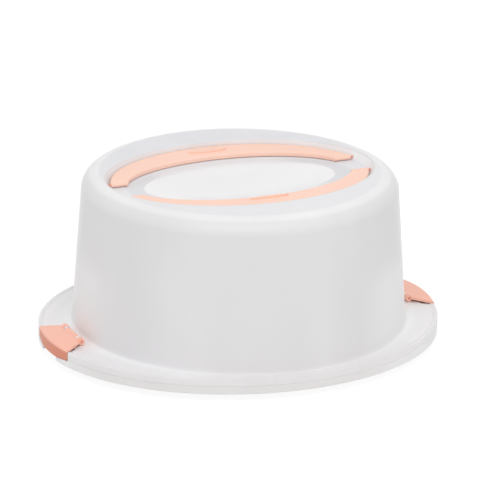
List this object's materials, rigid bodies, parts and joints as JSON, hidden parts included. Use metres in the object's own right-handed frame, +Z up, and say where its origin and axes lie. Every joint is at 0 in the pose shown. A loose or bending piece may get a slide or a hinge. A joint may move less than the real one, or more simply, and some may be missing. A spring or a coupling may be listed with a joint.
{
  "type": "cake carrier",
  "caption": "Round frosted cake carrier: oval-rimmed tray, lift-off dome lid held by side clips, with crescent handles that fold flat into its top.",
  "frame": {"origin": "middle of the tray's foot, on the surface it stands on", "axes": "+X along the oval rim's long axis through both side clips, +Y towards the rear handle, +Z up"},
  "size_m": [0.365, 0.3254, 0.1569],
  "materials": {
    "frosted_lid": "frosted translucent polypropylene, satin outside",
    "frosted_tray": "frosted translucent polypropylene, satin",
    "peach_handle": "pale peach polypropylene, satin",
    "peach_clip": "peach polypropylene, satin",
    "peach_pin": "peach polypropylene, satin"
  },
  "bodies": {
    "base": {"base_tray": "frosted_tray"},
    "lid": {"lid_hood": "frosted_lid", "handle_front_pin_left": "peach_pin", "handle_front_pin_right": "peach_pin", "handle_rear_pin_left": "peach_pin", "handle_rear_pin_right": "peach_pin", "clip_left_pin": "peach_pin", "clip_right_pin": "peach_pin"},
    "handle_front": {"handle_front": "peach_handle"},
    "handle_rear": {"handle_rear": "peach_handle"},
    "clip_left": {"clip_left": "peach_clip"},
    "clip_right": {"clip_right": "peach_clip"}
  },
  "joints": [
    {"name": "lid_lift", "type": "slide", "parent": "base", "child": "lid", "axis": [0, 0, 1], "range_m": [0, 0.19]},
    {"name": "handle_front_fold", "type": "hinge", "parent": "lid", "child": "handle_front", "pos_m": [0, -0.02, 0.1507], "axis": [-1, 0, 0], "range_deg": [0, 104]},
    {"name": "handle_rear_fold", "type": "hinge", "parent": "lid", "child": "handle_rear", "pos_m": [0, 0.02, 0.1507], "axis": [1, 0, 0], "range_deg": [0, 104]},
    {"name": "clip_left_swing", "type": "hinge", "parent": "lid", "child": "clip_left", "pos_m": [-0.1595, 0, 0.02315], "axis": [0, 1, 0], "range_deg": [0, 100]},
    {"name": "clip_right_swing", "type": "hinge", "parent": "lid", "child": "clip_right", "pos_m": [0.1595, 0, 0.02315], "axis": [0, -1, 0], "range_deg": [0, 100]}
  ]
}
